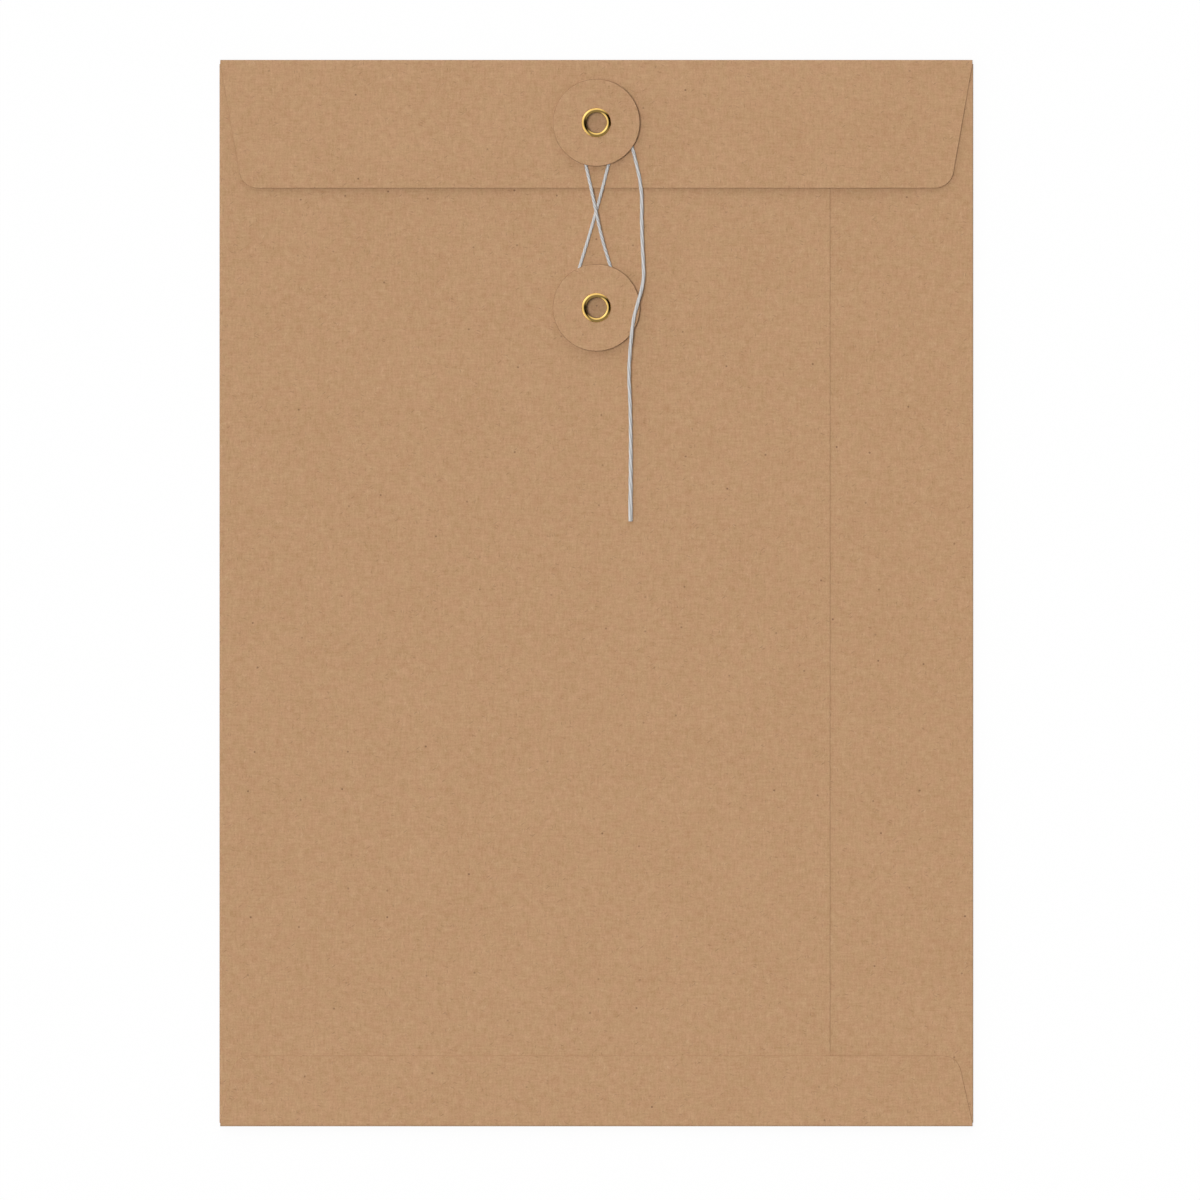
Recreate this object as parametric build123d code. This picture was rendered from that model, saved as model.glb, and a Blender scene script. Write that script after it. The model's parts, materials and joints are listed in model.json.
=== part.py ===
from build123d import *
import math
import os

os.makedirs("parts", exist_ok=True)

# String tie envelope lying flat, button side up. Millimetres, +Z up.
# Origin: middle of the footprint on the resting face. +Y points to the flap crease.

# Envelope and paper
envelope_width = 229.0
envelope_height = 324.0
paper = 0.18
gum_film = 0.04
pocket_gap = 0.9
throat_depth = 1.2
cut_gap = 0.2

# Back seam and bottom flap
seam_to_right_edge = 43.5
seam_lap = 14.0
seam_gum_width = 8.0
seam_gum_end = 6.0
bottom_flap_depth = 21.4
bottom_flap_inset = 0.2
bottom_flap_taper = 12.5
bottom_flap_corner = 5.5
bottom_gum_margin = 4.0
bottom_gum_inset = 12.0

# Closing flap
flap_depth = 38.95
flap_taper = 10.0
flap_corner = 5.8

# Buttons, measured from the top crease to each eyelet
upper_button_depth = 19.1
lower_button_depth = 75.3
disc_radius = 13.2
disc_thickness = 0.6
disc_edge_round = 0.15
spacer_radius = 5.45
patch_radius = 9.0
eyelet_bore_radius = 3.05
eyelet_wall = 0.2
eyelet_rim_width = 1.25
eyelet_rim_height = 0.55
clinch_width = 1.25
clinch_height = 0.35

# String: slants of its strands from the envelope's length, in degrees, where they leave and reach a button,
# and the slack between each turn and the tightest turn round a spacer
string_diameter = 1.1
anchor_angle = 40.0
falling_start_slant = 14.2
falling_end_slant = 17.2
rising_start_slant = 16.7
rising_end_slant = 13.1
tail_slant = 15.0
upper_right_slack = 0.6
lower_left_slack = 2.4
lower_right_slack = 1.65
tail_slack = 2.45
tail_lead = 3.2

# Fits and clearances
eyelet_fit = 0.05
disc_end_play = 0.03
string_gap = 0.1
clinch_gap = 0.17

# Levels, from the resting face upwards
spacer_thickness = string_diameter + 2 * string_gap
narrow_bottom = paper + pocket_gap
narrow_top = narrow_bottom + paper
wide_bottom = narrow_top + gum_film
wide_top = wide_bottom + paper
bottom_flap_bottom = wide_top + gum_film
bottom_flap_top = bottom_flap_bottom + paper
flap_bottom = wide_top + clinch_gap + clinch_height + paper
flap_top = flap_bottom + paper
panel_lay = wide_top + string_gap + string_diameter / 2
flap_lay = flap_top + string_gap + string_diameter / 2

# Fold radii and fold axes
left_fold_radius = wide_top / 2
right_fold_radius = narrow_top / 2
bottom_fold_radius = bottom_flap_top / 2
crease_radius = flap_top / 2
left_axis = left_fold_radius - envelope_width / 2
right_axis = envelope_width / 2 - right_fold_radius
bottom_axis = bottom_fold_radius - envelope_height / 2
crease_axis = envelope_height / 2 - crease_radius
throat = envelope_height / 2 - throat_depth
panel_low = bottom_axis + cut_gap

seam_x = envelope_width / 2 - seam_to_right_edge

# Button places and eyelet radii
upper_button = envelope_height / 2 - upper_button_depth
lower_button = envelope_height / 2 - lower_button_depth
barrel_radius = eyelet_bore_radius + eyelet_wall
hole_radius = barrel_radius + eyelet_fit
rim_radius = barrel_radius + eyelet_rim_width
clinch_radius = barrel_radius + clinch_width

# Radii of the string's turns
tight_turn = spacer_radius + string_gap + string_diameter / 2
upper_right_turn = tight_turn + upper_right_slack
lower_left_turn = tight_turn + lower_left_slack
lower_right_turn = tight_turn + lower_right_slack
tail_turn = tight_turn + tail_slack


def save(name, solid):
    solid.label = name
    export_step(solid, f"parts/{name}.step")


def plate(left, right, low, high, bottom, thickness):
    middle = ((left + right) / 2, (low + high) / 2, bottom + thickness / 2)
    return Pos(*middle) * Box(right - left, high - low, thickness)


def folded_edge(axis_point, inward, along, outer_radius, length):
    """Two quarter bends of paper round a fold axis; inward points to the panels that they join."""
    roll = Circle(outer_radius) - Circle(outer_radius - paper)
    section = Plane(origin=axis_point, x_dir=inward, z_dir=along)
    bends = []
    for side in (Align.MIN, Align.MAX):
        quarter = roll & Rectangle(outer_radius, outer_radius, align=(Align.MAX, side))
        bends.append(extrude(section * quarter, length))
    return Compound(bends)


def tapered_outline(root_y, tip_y, root_half, taper, corner):
    """Flap outline with a straight root, slanted ends and two rounded tip corners."""
    tip_half = root_half - abs(tip_y - root_y) * math.tan(math.radians(taper))
    face = make_face(
        Polyline((-root_half, root_y), (root_half, root_y), (tip_half, tip_y), (-tip_half, tip_y), close=True)
    )
    tips = [vertex for vertex in face.vertices() if abs(vertex.Y - tip_y) < 0.001]
    return fillet(tips, corner)


def washer(center_y, outer_radius, bottom, thickness):
    ring = Circle(outer_radius) - Circle(hole_radius)
    return Pos(0, center_y, bottom) * extrude(ring, thickness)


def punched(sheet, center_y):
    return sheet - Pos(0, center_y, 0) * Cylinder(hole_radius, 4 * flap_top)


def button_disc(center_y, bottom):
    disc = washer(center_y, disc_radius, bottom, disc_thickness)
    rims = [edge for edge in disc.edges().filter_by(GeomType.CIRCLE) if edge.radius > disc_radius - 0.01]
    return fillet(rims, disc_edge_round)


def eyelet(center_y, clinch_face, rim_face):
    """Hollow rivet: a barrel, a rolled rim that rests on the disc and a roll clinched over the patch."""
    rim_middle = (eyelet_bore_radius + rim_radius) / 2
    clinch_middle = (eyelet_bore_radius + clinch_radius) / 2
    rim = ThreePointArc(
        (rim_radius, rim_face), (rim_middle, rim_face + eyelet_rim_height), (eyelet_bore_radius, rim_face)
    )
    clinch = ThreePointArc(
        (eyelet_bore_radius, clinch_face),
        (clinch_middle, clinch_face - clinch_height),
        (clinch_radius, clinch_face),
    )
    outline = [
        rim,
        Line((eyelet_bore_radius, rim_face), (eyelet_bore_radius, clinch_face)),
        clinch,
        Line((clinch_radius, clinch_face), (barrel_radius, clinch_face)),
        Line((barrel_radius, clinch_face), (barrel_radius, rim_face)),
        Line((barrel_radius, rim_face), (rim_radius, rim_face)),
    ]
    return Pos(0, center_y, 0) * revolve(Plane.XZ * make_face(outline), Axis.Z)


def save_button(side, center_y, sheet_bottom, sheet_top):
    """Every piece of one button, stacked from the patch inside to the eyelet rim outside."""
    patch_bottom = sheet_bottom - paper
    disc_bottom = sheet_top + spacer_thickness + disc_end_play
    rim_face = disc_bottom + disc_thickness + disc_end_play
    save(f"{side}_patch", washer(center_y, patch_radius, patch_bottom, paper))
    save(f"{side}_spacer", washer(center_y, spacer_radius, sheet_top, spacer_thickness))
    save(f"{side}_disc", button_disc(center_y, disc_bottom))
    save(f"{side}_eyelet", eyelet(center_y, patch_bottom, rim_face))


# Pocket sheets
front_panel = plate(left_axis, right_axis, bottom_axis, crease_axis, 0, paper)
wide_back_panel = punched(plate(left_axis, seam_x, panel_low, throat, wide_bottom, paper), lower_button)
narrow_back_panel = plate(seam_x - seam_lap, right_axis, panel_low, throat, narrow_bottom, paper)
bottom_half = envelope_width / 2 - bottom_flap_inset
bottom_tip = bottom_flap_depth - envelope_height / 2
bottom_flap_outline = tapered_outline(
    bottom_axis, bottom_tip, bottom_half, bottom_flap_taper, bottom_flap_corner
)
save("front_panel", front_panel)
save("wide_back_panel", wide_back_panel)
save("narrow_back_panel", narrow_back_panel)
save("bottom_flap", Pos(0, 0, bottom_flap_bottom) * extrude(bottom_flap_outline, paper))

# Folds of the pocket
fold_length = throat - panel_low
left_point = (left_axis, panel_low, left_fold_radius)
right_point = (right_axis, panel_low, right_fold_radius)
bottom_point = (-bottom_half, bottom_axis, bottom_fold_radius)
save("left_side_fold", folded_edge(left_point, (1, 0, 0), (0, 1, 0), left_fold_radius, fold_length))
save("right_side_fold", folded_edge(right_point, (-1, 0, 0), (0, 1, 0), right_fold_radius, fold_length))
save("bottom_fold", folded_edge(bottom_point, (0, 1, 0), (1, 0, 0), bottom_fold_radius, 2 * bottom_half))

# Gum films in the two seams
seam_middle = seam_x - seam_lap / 2
seam_gum_left = seam_middle - seam_gum_width / 2
seam_gum_right = seam_middle + seam_gum_width / 2
seam_gum_low = panel_low + seam_gum_end
seam_gum_high = throat - seam_gum_end
side_seam_gum = plate(seam_gum_left, seam_gum_right, seam_gum_low, seam_gum_high, narrow_top, gum_film)
bottom_gum_left = bottom_gum_inset - bottom_half
bottom_gum_right = seam_x - bottom_gum_margin
bottom_gum_low = bottom_axis + bottom_gum_margin
bottom_gum_high = bottom_tip - bottom_gum_margin
bottom_gum = plate(bottom_gum_left, bottom_gum_right, bottom_gum_low, bottom_gum_high, wide_top, gum_film)
save("side_seam_gum", side_seam_gum)
save("bottom_gum", bottom_gum)

# Closing flap and its crease
flap_root_half = envelope_width / 2 - crease_radius * math.tan(math.radians(flap_taper))
flap_tip = envelope_height / 2 - flap_depth
flap_outline = tapered_outline(crease_axis, flap_tip, flap_root_half, flap_taper, flap_corner)
flap_sheet = Pos(0, 0, flap_bottom) * extrude(flap_outline, paper)
crease_point = (-flap_root_half, crease_axis, crease_radius)
save("closing_flap", punched(flap_sheet, upper_button))
save("flap_crease", folded_edge(crease_point, (0, -1, 0), (1, 0, 0), crease_radius, 2 * flap_root_half))

# Buttons
save_button("upper", upper_button, flap_bottom, flap_top)
save_button("lower", lower_button, wide_bottom, wide_top)


def turn_corners(center_y, first, last, steps, height):
    """Corners of a string turning round a button.

    The string runs along lines that touch circles round the eyelet. Each line is an angle in degrees and
    a circle radius; they change evenly from first to last.
    """
    lines = []
    for step in range(steps + 1):
        share = step / steps
        angle = math.radians(first[0] + share * (last[0] - first[0]))
        lines.append((angle, first[1] + share * (last[1] - first[1])))
    corners = []
    for (angle, radius), (next_angle, next_radius) in zip(lines, lines[1:]):
        turn = math.sin(next_angle - angle)
        x = (radius * math.sin(next_angle) - next_radius * math.sin(angle)) / turn
        y = (next_radius * math.cos(angle) - radius * math.cos(next_angle)) / turn
        corners.append((x, center_y + y, height))
    return corners


def touch_point(center_y, angle, radius):
    return (radius * math.cos(math.radians(angle)), center_y + radius * math.sin(math.radians(angle)))


# String route. It starts under the upper disc, crosses to the left of the lower button, turns under the
# lower disc, crosses back over itself, turns over the top of the upper button and leaves as the tail.
anchor_end = touch_point(upper_button, anchor_angle, tight_turn)
anchor_turn = turn_corners(
    upper_button, (anchor_angle, tight_turn), (-falling_start_slant, upper_right_turn), 2, flap_lay
)
falling_strand = [
    (5.0, 135.4, flap_lay + 0.02),
    (3.4, 129.2, flap_lay + 0.04),
    (1.55, 121.9, flap_lay + 0.02),
    (0.12, 116.8, panel_lay - 0.08),
    (-1.95, 109.4, panel_lay),
    (-4.3, 101.7, panel_lay + 0.02),
    (-6.65, 94.0, panel_lay),
]
lower_turn = turn_corners(
    lower_button,
    (180 - falling_end_slant, lower_left_turn),
    (360 + rising_start_slant, lower_right_turn),
    5,
    panel_lay,
)
rising_strand = [
    (5.75, 94.4, panel_lay - 0.02),
    (3.8, 100.7, panel_lay + 0.02),
    (1.88, 107.0, panel_lay + 0.8),
    (0.3, 113.8, panel_lay + 1.62),
    (-1.0, 120.1, panel_lay + 1.64),
    (-2.7, 127.8, flap_lay + 0.07),
    (-4.3, 134.6, flap_lay),
]
upper_turn = turn_corners(
    upper_button, (180 + rising_end_slant, tight_turn), (tail_slant, tail_turn), 4, flap_lay
)
tail_touch = touch_point(upper_button, tail_slant, tail_turn)
tail_start = (
    tail_touch[0] + tail_lead * math.sin(math.radians(tail_slant)),
    tail_touch[1] - tail_lead * math.cos(math.radians(tail_slant)),
    flap_lay,
)
disc_lay = wide_top + spacer_thickness + disc_end_play + disc_thickness + string_gap + string_diameter / 2
tail_corners = [
    (11.55, 133.0, flap_lay + 0.02),
    (13.85, 122.8, flap_lay),
    (13.7, 112.5, panel_lay + 0.7),
    (14.1, 102.8, panel_lay + 1.05),
    (14.5, 95.4, panel_lay + 1.5),
    (13.15, 90.0, disc_lay + 0.15),
    (11.28, 83.8, disc_lay),
    (10.45, 76.5, disc_lay - 0.05),
    (9.75, 67.0, panel_lay + 1.35),
    (10.35, 56.5, panel_lay + 0.65),
    (10.46, 38.5, panel_lay + 0.15),
    (10.32, 21.8, panel_lay + 0.15),
]
tie_route = (
    [(anchor_end[0], anchor_end[1], flap_lay)]
    + anchor_turn
    + falling_strand
    + lower_turn
    + rising_strand
    + upper_turn
    + [tail_start]
)
tail_route = [tail_start] + tail_corners


def string_path(route):
    """Straight runs along a route, joined by tangent arcs as wide as the shorter run beside each allows."""
    radii = []
    for before, corner, after in zip(route, route[1:], route[2:]):
        run_in = Vector(*corner) - Vector(*before)
        run_out = Vector(*after) - Vector(*corner)
        half_turn = math.radians(run_in.get_angle(run_out)) / 2
        radii.append(0.45 * min(run_in.length, run_out.length) / math.tan(half_turn))
    return FilletPolyline(*route, radius=radii), radii


def string_tube(path):
    return sweep(Plane(origin=path @ 0, z_dir=path % 0) * Circle(string_diameter / 2), path)


def least_self_gap(path):
    """Least gap between stretches of the string that lie more than 10 mm apart along it."""
    count = round(path.length)
    points = [path @ (index / count) for index in range(count + 1)]
    gaps = []
    for first in range(count + 1):
        for second in range(first + 10, count + 1):
            gaps.append((points[second] - points[first]).length - string_diameter)
    return min(gaps)


for name, route in (("string_tie", tie_route), ("string_tail", tail_route)):
    path, radii = string_path(route)
    tube = string_tube(path)
    section = math.pi * string_diameter**2 / 4
    save(name, tube)
    print(name, "length", round(path.length, 1), "least bend radius", round(min(radii), 2))
    print(name, "radii", [round(radius, 1) for radius in radii])
    print(name, "volume", round(tube.volume, 2), "section times length", round(section * path.length, 2))
    print(name, "least gap to itself", round(least_self_gap(path), 2))
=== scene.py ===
import json
import math

import bmesh
import bpy
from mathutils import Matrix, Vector
from mathutils.geometry import delaunay_2d_cdt


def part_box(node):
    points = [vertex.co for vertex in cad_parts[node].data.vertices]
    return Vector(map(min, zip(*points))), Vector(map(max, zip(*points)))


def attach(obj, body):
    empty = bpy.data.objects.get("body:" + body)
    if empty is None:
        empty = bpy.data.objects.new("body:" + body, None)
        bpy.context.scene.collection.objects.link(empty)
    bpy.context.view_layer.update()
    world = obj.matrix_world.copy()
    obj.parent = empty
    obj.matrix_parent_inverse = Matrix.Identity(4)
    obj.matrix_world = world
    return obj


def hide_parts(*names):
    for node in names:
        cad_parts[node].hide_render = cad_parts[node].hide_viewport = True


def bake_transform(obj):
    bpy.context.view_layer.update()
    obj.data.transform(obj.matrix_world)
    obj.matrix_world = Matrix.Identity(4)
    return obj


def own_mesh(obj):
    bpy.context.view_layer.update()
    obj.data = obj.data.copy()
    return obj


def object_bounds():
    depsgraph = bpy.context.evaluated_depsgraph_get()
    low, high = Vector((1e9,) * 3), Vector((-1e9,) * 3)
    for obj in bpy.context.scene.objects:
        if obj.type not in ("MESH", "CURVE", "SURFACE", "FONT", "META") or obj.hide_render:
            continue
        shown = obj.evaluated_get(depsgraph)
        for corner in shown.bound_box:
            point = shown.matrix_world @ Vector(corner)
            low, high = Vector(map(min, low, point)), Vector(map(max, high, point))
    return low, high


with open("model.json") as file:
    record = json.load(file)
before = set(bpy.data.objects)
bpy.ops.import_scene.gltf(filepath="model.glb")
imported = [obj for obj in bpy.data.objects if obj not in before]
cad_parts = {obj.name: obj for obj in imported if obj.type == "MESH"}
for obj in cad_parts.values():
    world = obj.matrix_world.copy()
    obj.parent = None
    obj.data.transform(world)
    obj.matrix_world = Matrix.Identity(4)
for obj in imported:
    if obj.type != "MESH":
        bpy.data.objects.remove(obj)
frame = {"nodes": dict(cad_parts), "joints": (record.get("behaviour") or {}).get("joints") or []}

# String tie envelope lying on its address side, button side up.
# Metres, with +Z up and +Y towards the flap crease.

cad_low, cad_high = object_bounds()
scene = bpy.context.scene
metre_in_millimetres = 1000.0

# Levels and places taken from the frame
front_low, front_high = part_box("front_panel")
wide_low, wide_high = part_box("wide_back_panel")
narrow_low, narrow_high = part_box("narrow_back_panel")
tuck_low, tuck_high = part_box("bottom_flap")
flap_low, flap_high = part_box("closing_flap")
joint_places = {joint["name"]: Vector(joint["pos_m"]) for joint in frame["joints"]}
upper_button = joint_places["upper_disc_spin"].y
lower_button = joint_places["lower_disc_spin"].y
crease_y = joint_places["flap_hinge"].y
paper = front_high.z - front_low.z
front_middle = (front_low.z + front_high.z) / 2
flap_middle = (flap_low.z + flap_high.z) / 2

# Paper outlines
flap_taper = math.radians(10.0)
flap_corner = 0.0058
tuck_taper = math.radians(12.5)
tuck_corner = 0.0055
fold_squareness = 4.0

# Lie of the loose paper: how far it lifts, sinks or sags, and where that starts and is full
flap_lift = 0.0004
flap_flat_half = 0.016
flap_loose_half = 0.045
flap_settle_start = 0.085
flap_settle_full = 0.105
flap_settle_share = 0.5
flap_sag = 0.0003
flap_sag_start = 0.085
root_sink = 0.0005
root_sink_depth = 0.008
tuck_sag = 0.0002
tuck_sag_start = 0.098
tuck_sag_full = 0.107

# Paper meshes: grid spacings, steps round folds and edges, least gaps between points, and edge shading
sheet_grid = 0.008
fine_grid = sheet_grid / 2
root_grid = sheet_grid / 8
fold_margin = 0.0004
fold_steps = 14
rim_steps = 4
corner_steps = 10
grid_clearance = 0.00006
least_span = 1e-7
least_share = 1e-4
share_digits = 6
least_edge = 1e-9
join_distance = 1e-6
triangles_inside = 1
# Share of the dark cut-edge tone on free sheet edges, which also serves as painted shade along them
sheet_cut_and_shade_share = 0.55
sheet_smooth_angle = 20.0

# Buttons
hole_radius = 0.00330
hole_steps = 48
hole_clear_radius = 1.5 * hole_radius
disc_rounding = 0.00016
patch_rounding = 0.00008
edge_steps = 5
edge_rings = (2, 4)
disc_dip = 0.00006
disc_dip_radius = 0.0062
dip_shares = (1.0, 0.8, 0.6, 0.4, 0.2)
spacer_groove = 0.00006
spacer_cut_and_shade_share = 0.8
bore_radius = 0.00313
barrel_radius = 0.00325
crest_radius = 0.00376
rim_radius = 0.00444
rim_height = 0.00055
rim_edge = 0.00015
rim_roundness = 1.3
clinch_height = 0.00035
roll_steps = 20
lathe_segments = 128
button_smooth_angle = 40.0

# String
string_diameter = 0.0011
string_gap = 0.0001
string_smooth_angle = 60.0
line_resolution = 24
ply_count = 3
ply_pitch = 0.0058
ply_sides = 10
ply_groove = 0.24
groove_shape = 1.5
groove_tone = 2
fibre_radius = 0.6
tight_share = 0.88
tail_length = 0.122
slack_pitch = 0.0150
slack_blend = 0.8
loose_end = 0.036
loose_growth = 0.26
untwisted_end = 0.014
panel_lay = wide_high.z + string_gap + string_diameter / 2
flap_lay = flap_high.z + string_gap + string_diameter / 2
disc_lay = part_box("lower_disc")[1].z + string_gap + string_diameter / 2
anchor_angle = 40.0
falling_start_slant = 14.2
falling_end_slant = 17.2
rising_start_slant = 16.7
rising_end_slant = 13.1
tail_slant = 15.0
tight_turn = 0.0061
upper_right_turn = 0.0067
lower_left_turn = 0.0085
lower_right_turn = 0.00775
tail_turn = 0.00855
tail_lead = 0.0032
anchor_turn_steps = 2
lower_turn_steps = 5
upper_turn_steps = 4

# Camera: straight down, with a long lens
picture_width = 0.3646
picture_centre = (0.0011, -0.0021)
lens = 1000.0
sensor = 36.0

# Light: shares of the plain level at which a colour renders as it is written
key_share = 0.63
key_direction = Vector((-0.17, 0.03, 1.0)).normalized()
key_softness = math.radians(18.0)
sky_level = 0.04
mirror_level = 0.008
floor_white = 0.86
floor_size = 14.0
floor_drop = 0.0003

# Panels of light in the sky: the way to each, how far towards it the light starts and is full,
# and its strength
sky_panels = (
    ((-0.25, 0.97, 0.0), 0.25, 0.85, 1.10),
    ((-1.0, 0.0, 0.0), 0.50, 0.95, 0.40),
    ((0.0, -1.0, 0.0), 0.05, 0.50, 0.28),
)
mirror_panels = (
    ((-1.0, 0.0, 0.0), 0.30, 0.60, 0.60),
    ((0.0, 0.0, 1.0), 0.93, 0.99, 0.15),
)

# Colours, linear
kraft_yellow = (0.4955, 0.3013, 0.1614)
kraft_pink = (0.5051, 0.2955, 0.1634)
kraft_mottle = (0.455, 0.345, 0.255)
dark_fibre = (0.240, 0.135, 0.075)
pale_fibre = (0.640, 0.440, 0.290)
# Dark tone of cut edges, also laid on as painted shade along the edges
kraft_cut_and_shade = (0.270, 0.150, 0.080)
brass_colour = (0.90, 0.585, 0.18)
# Near-black tone painted inside each eyelet's barrel and clinched roll, as shade
brass_painted_shade = (0.18, 0.17, 0.16)
brass_worn_share = 0.94
string_colour = (0.765, 0.757, 0.742)
string_shade = (0.530, 0.526, 0.518)
# Tone painted between the string's plies as shade
string_groove_shade = (0.370, 0.366, 0.358)
gum_colour = (0.62, 0.50, 0.30)
gum_thick_share = 0.8

# Clouds in the paper: waves per millimetre, roughness, stretch and depth of each layer of noise
kraft_clouds = (
    (0.06, 0.55, (1.0, 1.0, 1.0), 0.07),
    (0.45, 0.60, (1.0, 1.0, 1.0), 0.20),
    (1.90, 0.70, (1.0, 1.0, 1.0), 0.36),
    (1.60, 0.60, (0.18, 1.0, 1.0), 0.22),
    (1.60, 0.60, (1.0, 0.18, 1.0), 0.22),
)
cloud_detail = 3.0
noise_middle = 0.5
tint_waves = 0.28
tint_detail = 2.0
tint_roughness = 0.5
tint_range = (0.35, 0.65)

# Fibres and specks in the paper: the turn of their grid, the size of its cells in millimetres,
# how far each reaches in its cell, the share of cells that hold one, its strength and its colour
kraft_marks = (
    (0.35, (5.2, 0.80), 0.16, 0.14, 0.60, dark_fibre),
    (1.45, (4.4, 0.70), 0.16, 0.14, 0.60, dark_fibre),
    (2.50, (6.0, 0.90), 0.15, 0.12, 0.60, dark_fibre),
    (0.95, (4.8, 0.75), 0.16, 0.08, 0.50, pale_fibre),
    (2.10, (5.6, 0.75), 0.16, 0.08, 0.50, pale_fibre),
    (0.00, (13.0, 13.0), 0.032, 0.45, 1.0, dark_fibre),
    (0.80, (4.6, 4.6), 0.045, 0.25, 0.5, dark_fibre),
)
mark_core_share = 0.4

# Where each sheet's pattern starts, in millimetres, so that no two look alike
kraft_shifts = {
    "front": (0.0, 0.0, 0.0),
    "wide": (613.0, 241.0, 0.0),
    "narrow": (1219.0, 787.0, 0.0),
    "flap": (1871.0, 1303.0, 0.0),
    "upper": (2417.0, 1889.0, 0.0),
    "lower": (3011.0, 2371.0, 0.0),
}

# Finish of each surface: the noise in it, and its roughness, shine and relief
polish_noise = {"Scale": 2600.0, "Detail": 4.0}
polish_range = (0.3, 0.7)
brass_roughness = (0.04, 0.11)
thread_stretch = (9.0, 9.0, 0.9)
thread_noise = {"Scale": 1.0, "Detail": 3.0, "Roughness": 0.6}
film_noise = {"Scale": 700.0, "Detail": 3.0}
kraft_roughness = 0.9
kraft_shine = 0.25
kraft_relief = {"Strength": 0.35, "Distance": 0.00004}
string_roughness = 0.72
string_shine = 0.35
string_relief = {"Strength": 0.5, "Distance": 0.00005}
gum_roughness = 0.4

# Sockets of a colour mix, which has several of each name
mix_factor = 0
mix_first = 6
mix_second = 7
mix_result = 2


# Camera
camera_data = bpy.data.cameras.new("camera")
camera_data.lens = lens
camera_data.sensor_width = sensor
camera = bpy.data.objects.new("camera", camera_data)
camera.location = (*picture_centre, picture_width * lens / sensor + wide_high.z)
scene.collection.objects.link(camera)
scene.camera = camera


# Nodes and materials
def node(tree, kind, inputs=(), **settings):
    """A new node with its properties set and its inputs filled or linked."""
    made = tree.nodes.new(kind)
    for name, value in settings.items():
        setattr(made, name, value)
    for name, value in dict(inputs).items():
        if isinstance(value, bpy.types.NodeSocket):
            tree.links.new(value, made.inputs[name])
        else:
            made.inputs[name].default_value = value
    return made


def new_material(name):
    """A new material with its nodes and its surface shader."""
    material = bpy.data.materials.new(name)
    material.use_nodes = True
    return material, material.node_tree, material.node_tree.nodes["Principled BSDF"]


def calculate(tree, operation, first, second):
    """Sum, product or comparison of two values."""
    return node(tree, "ShaderNodeMath", {0: first, 1: second}, operation=operation).outputs[0]


def ramp(tree, value, start, full, low=0.0, high=1.0, kind="LINEAR"):
    """Value that goes from low at start to high at full and stays level beyond them."""
    inputs = {"Value": value, "From Min": start, "From Max": full, "To Min": low, "To Max": high}
    return node(tree, "ShaderNodeMapRange", inputs, interpolation_type=kind).outputs[0]


def colour_mix(tree, factor, first, second):
    """Blend of two colours, each a socket or three linear values."""
    inputs = {mix_factor: factor}
    for socket, value in ((mix_first, first), (mix_second, second)):
        inputs[socket] = value if isinstance(value, bpy.types.NodeSocket) else (*value, 1.0)
    return node(tree, "ShaderNodeMix", inputs, data_type="RGBA").outputs[mix_result]


def noise_value(tree, space, scale, detail, roughness, stretch=(1.0, 1.0, 1.0)):
    """Noise between 0 and 1; scale is in waves per millimetre, stretched along each axis."""
    stretched = node(tree, "ShaderNodeVectorMath", {0: space, 1: stretch}, operation="MULTIPLY")
    inputs = {"Vector": stretched.outputs[0], "Scale": scale, "Detail": detail, "Roughness": roughness}
    return node(tree, "ShaderNodeTexNoise", inputs, noise_dimensions="2D").outputs["Fac"]


def dashes(tree, space, turn, cell, reach, share):
    """Mask of sparse dashes: one in each cell of a turned grid, kept in a share of the cells."""
    scale = (1.0 / cell[0], 1.0 / cell[1], 1.0)
    turning = {"Vector": space, "Angle": turn}
    turned = node(tree, "ShaderNodeVectorRotate", turning, rotation_type="Z_AXIS").outputs[0]
    cells = node(tree, "ShaderNodeVectorMath", {0: turned, 1: scale}, operation="MULTIPLY").outputs[0]
    dots = node(tree, "ShaderNodeTexVoronoi", {"Vector": cells, "Scale": 1.0}, voronoi_dimensions="2D")
    near = ramp(tree, dots.outputs["Distance"], mark_core_share * reach, reach, 1.0, 0.0, "SMOOTHSTEP")
    chance = node(tree, "ShaderNodeSeparateColor", {"Color": dots.outputs["Color"]})
    kept = calculate(tree, "LESS_THAN", chance.outputs[0], share)
    strength = calculate(tree, "MULTIPLY", kept, chance.outputs[1])
    return calculate(tree, "MULTIPLY", near, strength)


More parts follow.
